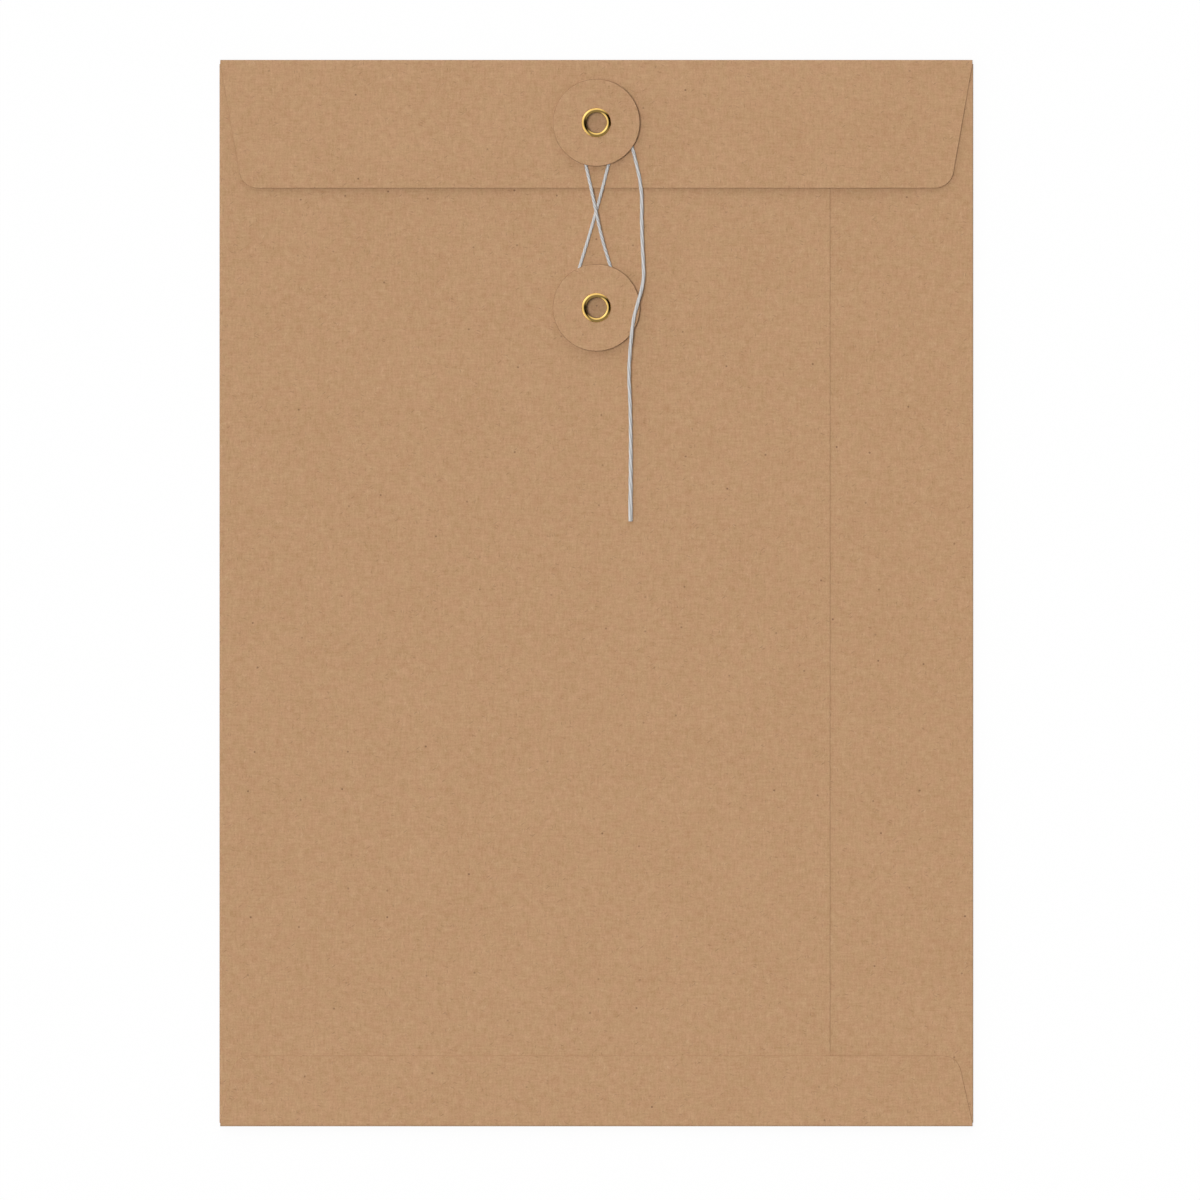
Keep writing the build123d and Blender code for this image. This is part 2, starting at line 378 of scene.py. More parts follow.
def kraft_material(name, shift):
    """Brown kraft paper: clouded tone, fine mottle, fibres, specks and dark cut edges, which also carry
    painted shade.
    """
    material, tree, shader = new_material(name)
    place = node(tree, "ShaderNodeTexCoord").outputs["Object"]
    mapping = {"Vector": place, "Location": shift, "Scale": (metre_in_millimetres,) * 3}
    space = node(tree, "ShaderNodeMapping", mapping).outputs[0]
    relief = -noise_middle * sum(depth for _, _, _, depth in kraft_clouds)
    for waves, roughness, stretch, depth in kraft_clouds:
        cloud = noise_value(tree, space, waves, cloud_detail, roughness, stretch)
        relief = calculate(tree, "ADD", calculate(tree, "MULTIPLY", cloud, depth), relief)
    tint = ramp(tree, noise_value(tree, space, tint_waves, tint_detail, tint_roughness), *tint_range)
    tone = colour_mix(tree, tint, kraft_yellow, kraft_pink)
    mottle = node(tree, "ShaderNodeVectorMath", {0: kraft_mottle, "Scale": relief}, operation="SCALE")
    mottled = node(tree, "ShaderNodeVectorMath", {0: tone, 1: mottle.outputs[0]}, operation="ADD")
    tone = mottled.outputs[0]
    for turn, cell, reach, share, strength, colour in kraft_marks:
        mask = calculate(tree, "MULTIPLY", dashes(tree, space, turn, cell, reach, share), strength)
        tone = colour_mix(tree, mask, tone, colour)
    # Cut edges take a dark tone, which also serves as painted shade along them
    cut = node(tree, "ShaderNodeAttribute", attribute_name="shade").outputs["Fac"]
    tone = colour_mix(tree, cut, tone, kraft_cut_and_shade)
    tree.links.new(tone, shader.inputs["Base Color"])
    shader.inputs["Roughness"].default_value = kraft_roughness
    shader.inputs["Specular IOR Level"].default_value = kraft_shine
    bump = node(tree, "ShaderNodeBump", {"Height": relief, **kraft_relief})
    tree.links.new(bump.outputs[0], shader.inputs["Normal"])
    return material


def brass_material():
    """Bright rolled brass with faint uneven polish, and painted shade inside a barrel."""
    material, tree, shader = new_material("brass")
    place = node(tree, "ShaderNodeTexCoord").outputs["Object"]
    polish = node(tree, "ShaderNodeTexNoise", {"Vector": place, **polish_noise}).outputs["Fac"]
    gloss = ramp(tree, polish, *polish_range, *brass_roughness)
    worn = [brass_worn_share * value for value in brass_colour]
    tone = colour_mix(tree, polish, worn, brass_colour)
    # Painted shade: the inside of the barrel and the clinched roll turn near black
    barrel_shade = node(tree, "ShaderNodeAttribute", attribute_name="shade").outputs["Fac"]
    tone = colour_mix(tree, barrel_shade, tone, brass_painted_shade)
    tree.links.new(tone, shader.inputs["Base Color"])
    tree.links.new(gloss, shader.inputs["Roughness"])
    shader.inputs["Metallic"].default_value = 1.0
    return material


def string_material():
    """Pale grey twisted cotton, with painted shade in each groove between its plies.

    The fibre attribute runs along the string, and round it with the plies, in millimetres.
    """
    material, tree, shader = new_material("string")
    fibre = node(tree, "ShaderNodeAttribute", attribute_name="fibre").outputs["Vector"]
    stretched = node(tree, "ShaderNodeVectorMath", {0: fibre, 1: thread_stretch}, operation="MULTIPLY")
    inputs = {"Vector": stretched.outputs[0], **thread_noise}
    threads = node(tree, "ShaderNodeTexNoise", inputs).outputs["Fac"]
    tone = colour_mix(tree, threads, string_shade, string_colour)
    # Painted shade, deepest where the plies meet
    groove = node(tree, "ShaderNodeAttribute", attribute_name="groove").outputs["Fac"]
    tone = colour_mix(tree, groove, tone, string_groove_shade)
    tree.links.new(tone, shader.inputs["Base Color"])
    shader.inputs["Roughness"].default_value = string_roughness
    shader.inputs["Specular IOR Level"].default_value = string_shine
    bump = node(tree, "ShaderNodeBump", {"Height": threads, **string_relief})
    tree.links.new(bump.outputs[0], shader.inputs["Normal"])
    return material


def gum_material():
    """Dried amber adhesive film with uneven thickness."""
    material, tree, shader = new_material("gum")
    place = node(tree, "ShaderNodeTexCoord").outputs["Object"]
    film = node(tree, "ShaderNodeTexNoise", {"Vector": place, **film_noise}).outputs["Fac"]
    thick = [gum_thick_share * value for value in gum_colour]
    tone = colour_mix(tree, film, thick, gum_colour)
    tree.links.new(tone, shader.inputs["Base Color"])
    shader.inputs["Roughness"].default_value = gum_roughness
    return material


kraft = {name: kraft_material(f"kraft_{name}", shift) for name, shift in kraft_shifts.items()}
brass = brass_material()
string_grey = string_material()
gum = gum_material()


# Meshes
def new_piece(name, vertices, faces, material, body, nodes, smooth_angle):
    """A mesh piece that rides on a body and stands for CAD nodes."""
    mesh = bpy.data.meshes.new(name)
    mesh.from_pydata(vertices, [], faces)
    shell = bmesh.new()
    shell.from_mesh(mesh)
    bmesh.ops.recalc_face_normals(shell, faces=shell.faces)
    shell.to_mesh(mesh)
    shell.free()
    mesh.shade_smooth()
    mesh.set_sharp_from_angle(angle=math.radians(smooth_angle))
    mesh.materials.append(material)
    piece = bpy.data.objects.new(name, mesh)
    scene.collection.objects.link(piece)
    if body:
        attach(piece, body)
    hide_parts(*nodes)
    return piece


def mark_shade(piece, values):
    """Store how far each vertex takes a cut edge's dark tone with its painted shade, or the painted
    shade inside a barrel, from 0 to 1.
    """
    attribute = piece.data.attributes.new("shade", "FLOAT", "POINT")
    attribute.data.foreach_set("value", values)


def band(ring, next_ring):
    """Faces between two closed rings of vertices."""
    faces = []
    for index in range(len(ring)):
        after = (index + 1) % len(ring)
        faces.append((ring[index], next_ring[index], next_ring[after], ring[after]))
    return faces


def smooth_step(value, start, full):
    """Share from 0 at start to 1 at full, with level ends."""
    share = min(1.0, max(0.0, (value - start) / (full - start)))
    return share * share * (3 - 2 * share)


# String. It starts under the upper disc, crosses to the left of the lower button, turns under the lower
# disc, crosses back over itself, turns over the top of the upper button and leaves as the tail.
def turn_corners(center_y, first, last, steps, height):
    """Corners where lines that touch circles round a button meet.

    The lines go from a first angle and radius to a last.
    """
    lines = []
    for step in range(steps + 1):
        share = step / steps
        angle = math.radians(first[0] + share * (last[0] - first[0]))
        lines.append((angle, first[1] + share * (last[1] - first[1])))
    corners = []
    for (angle, radius), (next_angle, next_radius) in zip(lines, lines[1:]):
        turn = math.sin(next_angle - angle)
        x = (radius * math.sin(next_angle) - next_radius * math.sin(angle)) / turn
        y = (next_radius * math.cos(angle) - radius * math.cos(next_angle)) / turn
        corners.append((x, center_y + y, height))
    return corners


def touch_point(center_y, angle, radius, height):
    """Point of a circle round a button, at an angle in degrees."""
    slope = math.radians(angle)
    return (radius * math.cos(slope), center_y + radius * math.sin(slope), height)


anchor_end = touch_point(upper_button, anchor_angle, tight_turn, flap_lay)
anchor_turn = turn_corners(
    upper_button,
    (anchor_angle, tight_turn),
    (-falling_start_slant, upper_right_turn),
    anchor_turn_steps,
    flap_lay,
)
falling_strand = [
    (0.00500, 0.1354, flap_lay + 0.00002),
    (0.00340, 0.1292, flap_lay + 0.00004),
    (0.00155, 0.1219, flap_lay + 0.00002),
    (0.00012, 0.1168, panel_lay - 0.00008),
    (-0.00195, 0.1094, panel_lay),
    (-0.00430, 0.1017, panel_lay + 0.00002),
    (-0.00665, 0.0940, panel_lay),
]
lower_turn = turn_corners(
    lower_button,
    (180 - falling_end_slant, lower_left_turn),
    (360 + rising_start_slant, lower_right_turn),
    lower_turn_steps,
    panel_lay,
)
rising_strand = [
    (0.00575, 0.0944, panel_lay - 0.00002),
    (0.00380, 0.1007, panel_lay + 0.00002),
    (0.00188, 0.1070, panel_lay + 0.0008),
    (0.00030, 0.1138, panel_lay + 0.00162),
    (-0.00100, 0.1201, panel_lay + 0.00164),
    (-0.00270, 0.1278, flap_lay + 0.00007),
    (-0.00430, 0.1346, flap_lay),
]
upper_turn = turn_corners(
    upper_button,
    (180 + rising_end_slant, tight_turn),
    (tail_slant, tail_turn),
    upper_turn_steps,
    flap_lay,
)
tail_touch = touch_point(upper_button, tail_slant, tail_turn, flap_lay)
tail_start = (
    tail_touch[0] + tail_lead * math.sin(math.radians(tail_slant)),
    tail_touch[1] - tail_lead * math.cos(math.radians(tail_slant)),
    flap_lay,
)
tail_strand = [
    (0.01155, 0.1330, flap_lay + 0.00002),
    (0.01385, 0.1228, flap_lay),
    (0.01370, 0.1125, panel_lay + 0.0007),
    (0.01410, 0.1028, panel_lay + 0.00105),
    (0.01450, 0.0954, panel_lay + 0.0015),
    (0.01315, 0.0900, disc_lay + 0.00015),
    (0.01128, 0.0838, disc_lay),
    (0.01045, 0.0765, disc_lay - 0.00005),
    (0.00975, 0.0670, panel_lay + 0.00135),
    (0.01035, 0.0565, panel_lay + 0.00065),
    (0.01046, 0.0385, panel_lay + 0.00015),
    (0.01032, 0.0218, panel_lay + 0.00015),
]
string_route = (
    [anchor_end]
    + anchor_turn
    + falling_strand
    + lower_turn
    + rising_strand
    + upper_turn
    + [tail_start]
    + tail_strand
)


def smooth_line(route):
    """Points along the smooth line that a route's points control."""
    curve = bpy.data.curves.new("string_line", "CURVE")
    curve.dimensions = "3D"
    curve.resolution_u = line_resolution
    spline = curve.splines.new("NURBS")
    spline.points.add(len(route) - 1)
    for point, place in zip(spline.points, route):
        point.co = (*place, 1.0)
    spline.order_u = 3
    spline.use_endpoint_u = True
    line = bpy.data.objects.new("string_line", curve)
    scene.collection.objects.link(line)
    bpy.context.view_layer.update()
    mesh = bpy.data.meshes.new_from_object(line)
    points = [vertex.co.copy() for vertex in mesh.vertices]
    bpy.data.meshes.remove(mesh)
    bpy.data.objects.remove(line)
    bpy.data.curves.remove(curve)
    return points


def line_frames(points):
    """Two side directions carried along a line, and the distance from its start, at each point."""
    side = Vector((0.0, 0.0, 1.0))
    distance = 0.0
    frames = []
    for index, point in enumerate(points):
        before = points[max(index - 1, 0)]
        after = points[min(index + 1, len(points) - 1)]
        tangent = (after - before).normalized()
        side = (side - side.dot(tangent) * tangent).normalized()
        distance += (point - before).length
        frames.append((side, tangent.cross(side), distance))
    return frames


def twisted_string(path):
    """A tube with one lobe for each ply, grooved between them and wound along a path.

    It is drawn slimmer where it is pulled tight round the buttons. In the tail the twist is longer,
    and towards the tail's end it swells and untwists.
    """
    frames = line_frames(path)
    total = frames[-1][2]
    sides = ply_count * ply_sides
    vertices = []
    fibres = []
    groove_shades = []
    turn = 0.0
    before = 0.0
    for point, (side, across, distance) in zip(path, frames):
        to_end = total - distance
        slack = 1 - smooth_step(to_end, slack_blend * tail_length, tail_length)
        pitch = ply_pitch + (slack_pitch - ply_pitch) * slack
        turn += smooth_step(to_end, -untwisted_end / 2, untwisted_end) * (distance - before) / pitch
        before = distance
        size = tight_share + (1 - tight_share) * slack
        size += loose_growth * (1 - smooth_step(to_end, 0.0, loose_end))
        along = metre_in_millimetres * distance
        for corner in range(sides):
            spin = 2 * math.pi * corner / sides
            depth = 1 - abs(math.sin(ply_count * spin / 2))
            radius = string_diameter / 2 * size * (1 - ply_groove * depth ** groove_shape)
            angle = spin - 2 * math.pi * turn
            vertices.append(point + radius * (math.cos(angle) * side + math.sin(angle) * across))
            fibres.extend((fibre_radius * math.cos(spin), fibre_radius * math.sin(spin), along))
            # Share of painted shade, deepest where the plies meet
            groove_shades.append(depth ** groove_tone)
    rings = [range(start, start + sides) for start in range(0, len(vertices), sides)]
    faces = []
    for ring, next_ring in zip(rings, rings[1:]):
        faces.extend(band(ring, next_ring))
    for end in (0, -1):
        middle = len(vertices)
        vertices.append(path[end])
        fibres.extend((0.0, 0.0, metre_in_millimetres * frames[end][2]))
        groove_shades.append(0.0)
        for corner in range(sides):
            faces.append((rings[end][corner], rings[end][(corner + 1) % sides], middle))
    return vertices, faces, fibres, groove_shades


string_path = smooth_line(string_route)
string_vertices, string_faces, string_fibres, string_groove_shades = twisted_string(string_path)
string = new_piece(
    "tie_string",
    string_vertices,
    string_faces,
    string_grey,
    "flap",
    ("string_tie", "string_tail"),
    string_smooth_angle,
)
fibre_attribute = string.data.attributes.new("fibre", "FLOAT_VECTOR", "POINT")
fibre_attribute.data.foreach_set("vector", string_fibres)
# Painted shade between the plies
groove_shade_attribute = string.data.attributes.new("groove", "FLOAT", "POINT")
groove_shade_attribute.data.foreach_set("value", string_groove_shades)
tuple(string_path[0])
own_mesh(string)


# Floor, sky and key light
def make_floor():
    """White floor that still takes the object's shadow."""
    half = floor_size / 2
    corners = [(-half, -half), (half, -half), (half, half), (-half, half)]
    mesh = bpy.data.meshes.new("floor")
    mesh.from_pydata([(x, y, -floor_drop) for x, y in corners], [], [(0, 1, 2, 3)])
    material, tree, shader = new_material("floor_white")
    tree.nodes.remove(shader)
    path = node(tree, "ShaderNodeLightPath")
    seen = calculate(tree, "MAXIMUM", path.outputs["Is Camera Ray"], path.outputs["Is Glossy Ray"])
    seen = calculate(tree, "MAXIMUM", seen, path.outputs["Is Transmission Ray"])
    strength = calculate(tree, "MULTIPLY", seen, floor_white)
    glow = node(tree, "ShaderNodeEmission", {"Strength": strength})
    matt_level = 1.0 - floor_white
    matt = node(tree, "ShaderNodeBsdfDiffuse", {"Color": (matt_level, matt_level, matt_level, 1.0)})
    both = node(tree, "ShaderNodeAddShader", {0: glow.outputs[0], 1: matt.outputs[0]})
    tree.links.new(both.outputs[0], tree.nodes["Material Output"].inputs["Surface"])
    mesh.materials.append(material)
    floor = bpy.data.objects.new("floor", mesh)
    scene.collection.objects.link(floor)


def make_sky():
    """Dim sky with broad bright panels on three sides, leaving the right side dark.

    The mirror panels show in gloss alone, where they stand for the overhead light and its left screen,
    and gloss sees the rest of the sky darker.
    """
    world = bpy.data.worlds.new("studio")
    world.use_nodes = True
    tree = world.node_tree
    direction = node(tree, "ShaderNodeTexCoord").outputs["Generated"]
    mirrored = node(tree, "ShaderNodeLightPath").outputs["Is Glossy Ray"]
    level = ramp(tree, mirrored, 0.0, 1.0, sky_level, mirror_level)
    for panels, share in ((sky_panels, 1.0), (mirror_panels, mirrored)):
        for facing, start, full, strength in panels:
            ways = {0: direction, 1: facing}
            lean = node(tree, "ShaderNodeVectorMath", ways, operation="DOT_PRODUCT")
            panel = ramp(tree, lean.outputs["Value"], start, full, 0.0, strength, "SMOOTHSTEP")
            level = calculate(tree, "ADD", calculate(tree, "MULTIPLY", panel, share), level)
    background = tree.nodes["Background"]
    tree.links.new(level, background.inputs["Strength"])
    background.inputs["Color"].default_value = (1.0, 1.0, 1.0, 1.0)
    scene.world = world


def make_key_light():
    """Soft light from nearly overhead. Metal mirrors the sky panels and not this lamp."""
    key = bpy.data.lights.new("key", "SUN")
    key.energy = key_share * math.pi / key_direction.z
    key.angle = key_softness
    lamp = bpy.data.objects.new("key", key)
    lamp.rotation_mode = "QUATERNION"
    lamp.rotation_quaternion = key_direction.to_track_quat("Z", "Y")
    lamp.visible_glossy = False
    scene.collection.objects.link(lamp)


make_floor()
make_sky()
make_key_light()
scene.view_settings.view_transform = "Standard"


# Paper sheets
def spread(start, end, spacing):
    """Evenly spaced values from start to end, no further apart than the spacing."""
    count = max(1, math.ceil(abs(end - start) / spacing))
    return [start + (end - start) * index / count for index in range(count + 1)]


def fold_values(line, wrap):
    """Values across a fold, from just before its line to the end of its wrap."""
    before = line - math.copysign(fold_margin, wrap)
    return [before] + [line + wrap * step / fold_steps for step in range(fold_steps + 1)]


def divided_edge(start, end, columns, rows):
    """Points from start up to, but without, end: where the edge crosses the grid's columns and rows."""
    shares = {0.0}
    for axis, lines in ((0, columns), (1, rows)):
        span = end[axis] - start[axis]
        if abs(span) > least_span:
            for line in lines:
                share = (line - start[axis]) / span
                if least_share < share < 1 - least_share:
                    shares.add(round(share, share_digits))
    points = []
    for share in sorted(shares):
        points.append((start[0] + share * (end[0] - start[0]), start[1] + share * (end[1] - start[1])))
    return points


def rounded_corner(before, corner, after, radius):
    """Arc that rounds a corner of an outline."""
    to_before = (Vector(before) - Vector(corner)).normalized()
    to_after = (Vector(after) - Vector(corner)).normalized()
    half = to_before.angle(to_after) / 2
    middle = Vector(corner) + (to_before + to_after).normalized() * (radius / math.sin(half))
    start = Vector(corner) + to_before * (radius / math.tan(half)) - middle
    end = Vector(corner) + to_after * (radius / math.tan(half)) - middle
    sweep = start.angle_signed(end)
    points = []
    for step in range(corner_steps + 1):
        angle = -sweep * step / corner_steps
        x = start.x * math.cos(angle) - start.y * math.sin(angle)
        y = start.x * math.sin(angle) + start.y * math.cos(angle)
        points.append((middle.x + x, middle.y + y))
    return points


def sheet_outline(corners, columns, rows):
    """Outline of a sheet, counter-clockwise. Each corner is a place and the radius that rounds it.

    Every outline point comes with 1 where the edge is free and 0 where the edge joins another piece,
    which is said by the third value of the corner that starts the edge.
    """
    arcs = []
    for index, (place, radius, _) in enumerate(corners):
        before = corners[index - 1][0]
        after = corners[(index + 1) % len(corners)][0]
        arcs.append(rounded_corner(before, place, after, radius) if radius else [place])
    outline = []
    for index, (_, _, free) in enumerate(corners):
        free_before = corners[index - 1][2]
        for point in arcs[index][:-1]:
            outline.append((point, 1.0))
        points = divided_edge(arcs[index][-1], arcs[(index + 1) % len(corners)][0], columns, rows)
        outline.append((points[0], min(free, free_before)))
        outline.extend((point, free) for point in points[1:])
    return outline


def inset_loop(outline, depth):
    """Outline points moved inwards by a depth where the edge is free."""
    moved = []
    count = len(outline)
    for index, (point, free) in enumerate(outline):
        before = Vector(outline[index - 1][0])
        after = Vector(outline[(index + 1) % count][0])
        along = (after - before).normalized()
        moved.append((point[0] - along.y * depth * free, point[1] + along.x * depth * free))
    return moved


def edge_loops(outline):
    """Loops round a sheet's rounded edge, each with its side: 1 on the upper face, -1 on the lower."""
    loops = []
    for step in range(rim_steps + 1):
        angle = math.pi / 2 - math.pi * step / rim_steps
        loops.append((inset_loop(outline, paper / 2 * (1 - math.cos(angle))), math.sin(angle)))
    return loops


def inside(point, loop, margin):
    """Whether a point lies inside a convex counter-clockwise loop, clear of it by a margin."""
    count = len(loop)
    for index in range(count):
        start = loop[index]
        end = loop[(index + 1) % count]
        edge = (end[0] - start[0], end[1] - start[1])
        length = math.hypot(*edge)
        if length > least_edge:
            reach = (edge[0] * (point[1] - start[1]) - edge[1] * (point[0] - start[0])) / length
            if reach < margin:
                return False
    return True


def closed_edges(first, count):
    """Edges of a loop of vertices that follow each other from a first one."""
    return [(first + index, first + (index + 1) % count) for index in range(count)]


def flat_mesh(border, columns, rows, hole_y):
    """Points and triangles of a flat sheet, and which points are on its border and round its hole."""
    flat = list(border)
    edges = closed_edges(0, len(border))
    if hole_y is not None:
        edges += closed_edges(len(border), hole_steps)
        for step in range(hole_steps):
            angle = 2 * math.pi * step / hole_steps
            flat.append((hole_radius * math.cos(angle), hole_y + hole_radius * math.sin(angle)))
    ringed = len(flat)
    for x in columns:
        for y in rows:
            clear_of_hole = hole_y is None or math.hypot(x, y - hole_y) > hole_clear_radius
            if clear_of_hole and inside((x, y), border, grid_clearance):
                flat.append((x, y))
    scaled = [Vector((metre_in_millimetres * x, metre_in_millimetres * y)) for x, y in flat]
    found = delaunay_2d_cdt(scaled, edges, [], triangles_inside, join_distance)
    points, _, triangles, origins, _, _ = found
    made_from = {}
    for index, sources in enumerate(origins):
        for source in sources:
            made_from[source] = index
    rim = [made_from[index] for index in range(len(border))]
    hole = [made_from[index] for index in range(len(border), ringed)]
    places = [(point.x / metre_in_millimetres, point.y / metre_in_millimetres) for point in points]
    hole_rim = set(hole)
    kept = [triangle for triangle in triangles if not hole_rim.issuperset(triangle)]
    return places, kept, rim, hole


def paper_sheet(name, corners, columns, rows, place, material, body, nodes, hole_y=None):
    """A paper sheet with rounded cut edges.

    place(x, y, side) bends the flat sheet; side goes from 1 on its upper face to -1 on its lower.
    """
    outline = sheet_outline(corners, columns, rows)
    loops = edge_loops(outline)
    places, triangles, border, hole = flat_mesh(loops[0][0], columns, rows, hole_y)
    count = len(places)
    vertices = [place(x, y, side) for side in (1.0, -1.0) for x, y in places]
    cut = [0.0] * len(vertices)
    faces = [tuple(triangle) for triangle in triangles]
    faces += [tuple(count + corner for corner in reversed(triangle)) for triangle in triangles]
    rings = [border]
    for loop, side in loops[1:-1]:
        rings.append(range(len(vertices), len(vertices) + len(border)))
        for (x, y), (_, free) in zip(loop, outline):
            vertices.append(place(x, y, side))
            # Free edges take the dark cut-edge tone, with painted shade along them
            cut.append(sheet_cut_and_shade_share * free)
    rings.append([count + index for index in border])
    for ring, next_ring in zip(rings, rings[1:]):
        faces.extend(band(ring, next_ring))
    faces.extend(band(hole, [count + index for index in hole]))
    piece = new_piece(name, vertices, faces, material, body, nodes, sheet_smooth_angle)
    mark_shade(piece, cut)
    return piece


def squared(value):
    """Turn a sine or cosine of a round fold into that of a pressed, squarer fold."""
    return math.copysign(abs(value) ** (2 / fold_squareness), value)


def folded_place(middle, axis, fold, edge):
    """Place function for a sheet that lies flat at a level and folds under past a line, out to an edge.

    The sheet wraps half round below itself to meet the front panel.
    The flat length of the wrap is given too.
    """
    drop = (middle - front_middle) / 2
    away = math.copysign(1.0, edge - fold)
    reach = abs(edge - fold) - paper / 2
    wrap = math.pi * drop

    def place(x, y, side):
        flat = [x, y]
        past = away * (flat[axis] - fold)
        level = middle + side * paper / 2
        if past > 0:
            angle = math.pi * past / wrap
            flat[axis] = fold + away * (reach + side * paper / 2) * squared(math.sin(angle))
            level = middle - drop + (drop + side * paper / 2) * squared(math.cos(angle))
        return Vector((flat[0], flat[1], level))

    return place, wrap


def flat_place(x, y, side):
    """Place function of the front panel."""
    return Vector((x, y, front_middle + side * paper / 2))


def flap_place(x, y, side):
    """Place function of the closing flap, which lies flat below its button and sinks to its crease.

    On both sides of the button the free edge stands up a little.
    Past the seam, where the sheet below is lower, the flap's right end sags.
    """
    depth = flap_high.y - y
    share = depth / (flap_high.y - flap_low.y)
    loose = smooth_step(abs(x), flap_flat_half, flap_loose_half)
    clear_of_root = smooth_step(depth, 0.0, root_sink_depth)
    flat_rise = -root_sink * (1 - clear_of_root)
    settled = flap_settle_share * smooth_step(abs(x), flap_settle_start, flap_settle_full)
    loose_rise = flap_lift * share * (1 - settled) - root_sink * (1 - share)
    sag = flap_sag * smooth_step(x, flap_sag_start, flap_settle_full) * clear_of_root
    rise = (1 - loose) * flat_rise + loose * loose_rise - sag
    return Vector((x, y, flap_middle + side * paper / 2 + rise))


def rectangle(left, right, low, high, free):
    """Corners of a rectangle; free says whether its bottom, right, top and left edges are cut edges."""
    places = [(left, low), (right, low), (right, high), (left, high)]
    return [(place, 0.0, edge) for place, edge in zip(places, free)]


def tapered(root_y, tip_y, half, taper, corner):
    """Corners of a flap, counter-clockwise: joined root edge, slanted ends, rounded tip corners."""
    tip_half = half - abs(tip_y - root_y) * math.tan(taper)
    if tip_y < root_y:
        return [
            ((-tip_half, tip_y), corner, 1.0),
            ((tip_half, tip_y), corner, 1.0),
            ((half, root_y), 0.0, 0.0),
            ((-half, root_y), 0.0, 1.0),
        ]
    return [
        ((-half, root_y), 0.0, 0.0),
        ((half, root_y), 0.0, 1.0),
        ((tip_half, tip_y), corner, 1.0),
        ((-tip_half, tip_y), corner, 1.0),
    ]


# Front panel
front_columns = spread(front_low.x, front_high.x, sheet_grid)
front_rows = spread(front_low.y, front_high.y, sheet_grid)
front_corners = rectangle(front_low.x, front_high.x, front_low.y, front_high.y, (0.0, 0.0, 0.0, 0.0))
paper_sheet(
    "address_side",
    front_corners,
    front_columns,
    front_rows,
    flat_place,
    kraft["front"],
    "pocket",
    ("front_panel",),
)

# Wide back panel with the left side fold
wide_middle = (wide_low.z + wide_high.z) / 2
wide_place, wide_wrap = folded_place(wide_middle, 0, wide_low.x, cad_low.x)
wide_columns = fold_values(wide_low.x, -wide_wrap) + spread(wide_low.x, wide_high.x, sheet_grid)[1:]
wide_rows = spread(wide_low.y, wide_high.y, sheet_grid)
wide_left = wide_low.x - wide_wrap
wide_corners = rectangle(wide_left, wide_high.x, wide_low.y, wide_high.y, (1.0, 1.0, 1.0, 0.0))
paper_sheet(
    "wide_back",
    wide_corners,
    wide_columns,
    wide_rows,
    wide_place,
    kraft["wide"],
    "pocket",
    ("wide_back_panel", "left_side_fold"),
    lower_button,
)

# Narrow back panel with the right side fold
narrow_middle = (narrow_low.z + narrow_high.z) / 2
narrow_place, narrow_wrap = folded_place(narrow_middle, 0, narrow_high.x, cad_high.x)
narrow_columns = spread(narrow_low.x, narrow_high.x, sheet_grid)[:-1]
narrow_columns += fold_values(narrow_high.x, narrow_wrap)
narrow_rows = spread(narrow_low.y, narrow_high.y, sheet_grid)
narrow_right = narrow_high.x + narrow_wrap
narrow_corners = rectangle(
    narrow_low.x, narrow_right, narrow_low.y, narrow_high.y, (1.0, 0.0, 1.0, 1.0)
)
paper_sheet(
    "narrow_back",
    narrow_corners,
    narrow_columns,
    narrow_rows,
    narrow_place,
    kraft["narrow"],
    "pocket",
    ("narrow_back_panel", "right_side_fold"),
)

# Bottom flap with the bottom fold
tuck_middle = (tuck_low.z + tuck_high.z) / 2
tuck_fold_place, tuck_wrap = folded_place(tuck_middle, 1, tuck_low.y, cad_low.y)


def tuck_place(x, y, side):
    """Place function of the bottom flap, whose right end settles on to the narrow panel below it."""
    place = tuck_fold_place(x, y, side)
    near_corner = smooth_step(x, tuck_sag_start, tuck_sag_full)
    clear_of_fold = smooth_step(y, tuck_low.y, tuck_low.y + root_sink_depth)
    place.z -= tuck_sag * near_corner * clear_of_fold
    return place


tuck_half = tuck_high.x
tuck_columns = spread(-tuck_half, tuck_half, fine_grid)
tuck_rows = fold_values(tuck_low.y, -tuck_wrap) + spread(tuck_low.y, tuck_high.y, sheet_grid)[1:]
tuck_tip = tapered(tuck_low.y, tuck_high.y, tuck_half, tuck_taper, tuck_corner)[2:]
tuck_corners = [
    ((-tuck_half, tuck_low.y - tuck_wrap), 0.0, 0.0),
    ((tuck_half, tuck_low.y - tuck_wrap), 0.0, 1.0),
    ((tuck_half, tuck_low.y), 0.0, 1.0),
    *tuck_tip,
    ((-tuck_half, tuck_low.y), 0.0, 1.0),
]
paper_sheet(
    "bottom_tuck",
    tuck_corners,
    tuck_columns,
    tuck_rows,
    tuck_place,
    kraft["front"],
    "pocket",
    ("bottom_flap", "bottom_fold"),
)

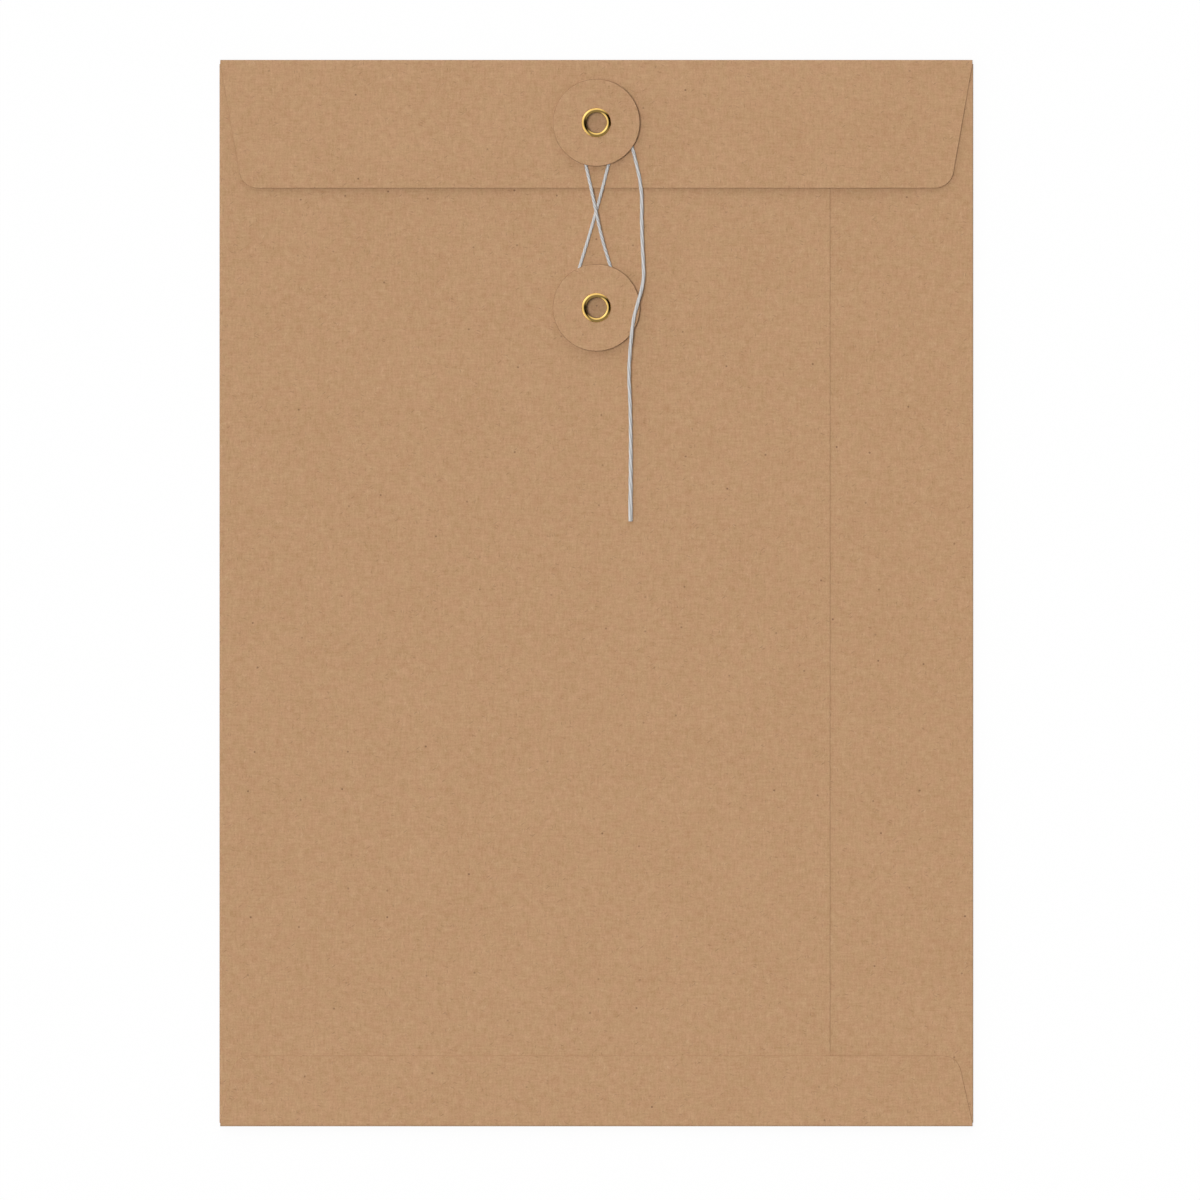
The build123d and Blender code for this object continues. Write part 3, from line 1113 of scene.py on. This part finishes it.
# Closing flap and its crease
flap_half = flap_high.x
flap_columns = spread(-flap_half, flap_half, fine_grid)
flap_rows = spread(flap_low.y, flap_high.y - root_sink_depth, fine_grid)[:-1]
flap_rows += spread(flap_high.y - root_sink_depth, flap_high.y, root_grid)
flap_corners = tapered(flap_high.y, flap_low.y, flap_half, flap_taper, flap_corner)
paper_sheet(
    "top_flap",
    flap_corners,
    flap_columns,
    flap_rows,
    flap_place,
    kraft["flap"],
    "flap",
    ("closing_flap",),
    upper_button,
)
root_level = flap_middle - root_sink
crease_place, crease_wrap = folded_place(root_level, 1, crease_y, cad_high.y)
crease_rows = fold_values(crease_y, crease_wrap)[1:]
crease_end = crease_y + crease_wrap
crease_corners = rectangle(-flap_half, flap_half, crease_y, crease_end, (0.0, 1.0, 0.0, 1.0))
crease = paper_sheet(
    "crease_strip",
    crease_corners,
    flap_columns,
    crease_rows,
    crease_place,
    kraft["flap"],
    None,
    ("flap_crease",),
)
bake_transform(crease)


# Buttons
def lathe(name, center_y, profile, shades, material, body, cad_node):
    """A closed profile of radii and heights, with its shades, turned about a button's axis."""
    vertices = []
    for step in range(lathe_segments):
        angle = 2 * math.pi * step / lathe_segments
        for radius, height in profile:
            vertices.append((radius * math.cos(angle), center_y + radius * math.sin(angle), height))
    count = len(profile)
    rings = [range(start, start + count) for start in range(0, len(vertices), count)]
    faces = []
    for ring, next_ring in zip(rings, rings[1:] + rings[:1]):
        faces.extend(band(ring, next_ring))
    piece = new_piece(name, vertices, faces, material, body, (cad_node,), button_smooth_angle)
    mark_shade(piece, shades * lathe_segments)


def washer_profile(outer_radius, low, high, rounding, dip=0.0):
    """Profile of a punched washer with rounded outer edges, pressed in by a dip round its eyelet."""
    # Each point's third value is its share of the dark cut-edge tone with painted shade: full at the
    # hole, fading from the side over the rounding
    points = [(hole_radius, low, 1.0)]
    for inset in reversed(edge_rings):
        points.append((outer_radius - inset * rounding, low, 0.0))
    for sign, level in ((-1, low + rounding), (1, high - rounding)):
        for step in range(edge_steps + 1):
            quarter = math.pi / 2 * step / edge_steps
            angle = quarter if sign > 0 else math.pi / 2 - quarter
            radius = outer_radius - rounding + rounding * math.cos(angle)
            points.append((radius, level + sign * rounding * math.sin(angle), math.cos(angle)))
    for inset in edge_rings:
        points.append((outer_radius - inset * rounding, high, 0.0))
    if dip:
        for share in dip_shares:
            radius = hole_radius + share * (disc_dip_radius - hole_radius)
            points.append((radius, high - dip * (1 - share) ** 2, 0.0))
    points.append((hole_radius, high - dip, 1.0))
    profile = [(radius, height) for radius, height, _ in points]
    cut = [shade for _, _, shade in points]
    return profile, cut


def spacer_profile(outer_radius, low, high):
    """Profile of two punched plies, one on the other, with a groove where they meet."""
    middle = (low + high) / 2
    bevel_radius = outer_radius - spacer_groove
    profile = [
        (hole_radius, low),
        (bevel_radius, low),
        (outer_radius, low + spacer_groove),
        (outer_radius, middle - spacer_groove),
        (bevel_radius, middle),
        (outer_radius, middle + spacer_groove),
        (outer_radius, high - spacer_groove),
        (bevel_radius, high),
        (hole_radius, high),
    ]
    # The plies' edges take the dark cut-edge tone with painted shade, in full where they meet
    ply_cut_and_shade = [spacer_cut_and_shade_share, spacer_cut_and_shade_share]
    cut = [0.0, 0.0, *ply_cut_and_shade, 1.0, *ply_cut_and_shade, 0.0, 0.0]
    return profile, cut


def eyelet_profile(clinch_radius, low, high):
    """Profile of a hollow rivet: rolled rim, barrel with painted shade inside, and a roll clinched over
    the patch below.
    """
    rim_face = high - rim_height
    clinch_face = low + clinch_height
    clinch_middle = (clinch_radius + bore_radius) / 2
    clinch_half = (clinch_radius - bore_radius) / 2
    rim = [(rim_radius, rim_face)]
    clinch = []
    for step in range(roll_steps + 1):
        angle = math.pi * step / roll_steps
        edge_radius = rim_radius if step < roll_steps / 2 else bore_radius
        reach = abs(math.cos(angle)) ** (2 / rim_roundness)
        rise = (rim_height - rim_edge) * math.sin(angle) ** (2 / rim_roundness)
        rim.append((crest_radius + reach * (edge_radius - crest_radius), rim_face + rim_edge + rise))
        fall = clinch_height * math.sin(angle)
        clinch.append((clinch_middle - clinch_half * math.cos(angle), clinch_face - fall))
    barrel = [(barrel_radius, clinch_face), (barrel_radius, rim_face)]
    # The bore wall and the clinched roll take painted shade
    barrel_shade = [0.0] * (len(rim) - 1) + [1.0] * (len(clinch) + 1) + [0.0] * len(barrel)
    return rim + clinch + barrel, barrel_shade


def make_button(side, center_y, body):
    """Patch, spacer, disc and eyelet of one button."""
    patch = f"{side}_patch"
    low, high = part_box(patch)
    profile, cut = washer_profile(high.x, low.z, high.z, patch_rounding)
    lathe(f"{side}_backing", center_y, profile, cut, kraft["front"], body, patch)
    spacer = f"{side}_spacer"
    low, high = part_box(spacer)
    profile, cut = spacer_profile(high.x, low.z, high.z)
    lathe(f"{side}_washer", center_y, profile, cut, kraft[side], body, spacer)
    disc = f"{side}_disc"
    low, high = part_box(disc)
    profile, cut = washer_profile(high.x, low.z, high.z, disc_rounding, disc_dip)
    lathe(f"{side}_button", center_y, profile, cut, kraft[side], disc, disc)
    eyelet = f"{side}_eyelet"
    low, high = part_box(eyelet)
    profile, barrel_shade = eyelet_profile(high.x, low.z, high.z)
    lathe(f"{side}_rivet", center_y, profile, barrel_shade, brass, body, eyelet)


make_button("upper", upper_button, "flap")
make_button("lower", lower_button, "pocket")

# Gum films stay as they are, with their own finish
for film in ("side_seam_gum", "bottom_gum"):
    frame["nodes"][film].data.materials.clear()
    frame["nodes"][film].data.materials.append(gum)
